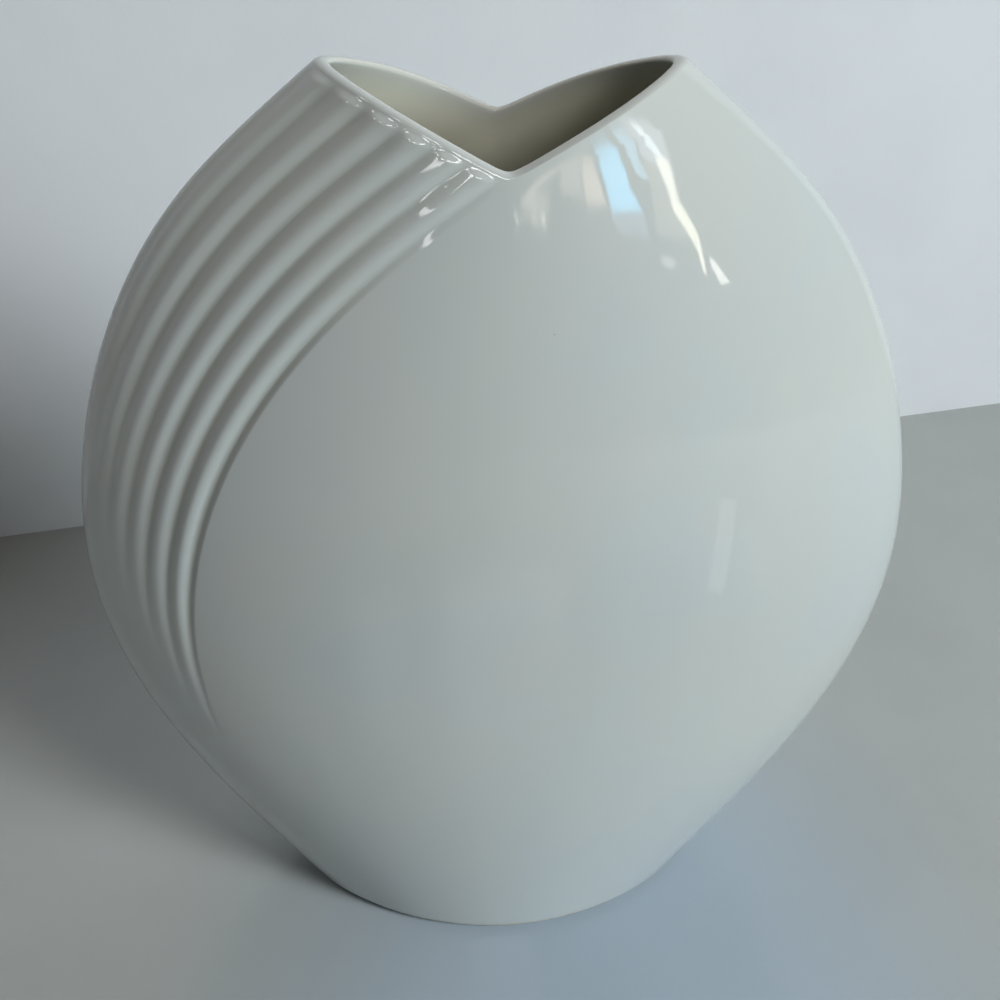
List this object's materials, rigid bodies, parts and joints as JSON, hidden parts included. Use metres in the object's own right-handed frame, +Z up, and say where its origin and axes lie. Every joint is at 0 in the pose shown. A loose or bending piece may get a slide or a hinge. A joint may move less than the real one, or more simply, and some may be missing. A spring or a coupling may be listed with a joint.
{
  "type": "pillow vase",
  "caption": "Flattened round porcelain vase with a V-cut mouth, curved flutes down one side of both broad faces, and an oval foot ring.",
  "frame": {"origin": "centre of the oval foot, on the plane that the vase stands on", "axes": "+Z up; -Y towards the viewer of the front broad face and +Y towards the back; +X to that viewer's right, so the flutes are on the -X side"},
  "size_m": [0.1826, 0.0754, 0.1996],
  "materials": {
    "porcelain": "fine matt, unglazed on the foot ring and base",
    "glaze": "smooth high gloss"
  },
  "bodies": {
    "root": {"porcelain_body": "porcelain", "glaze_coat": "glaze"}
  },
  "joints": []
}
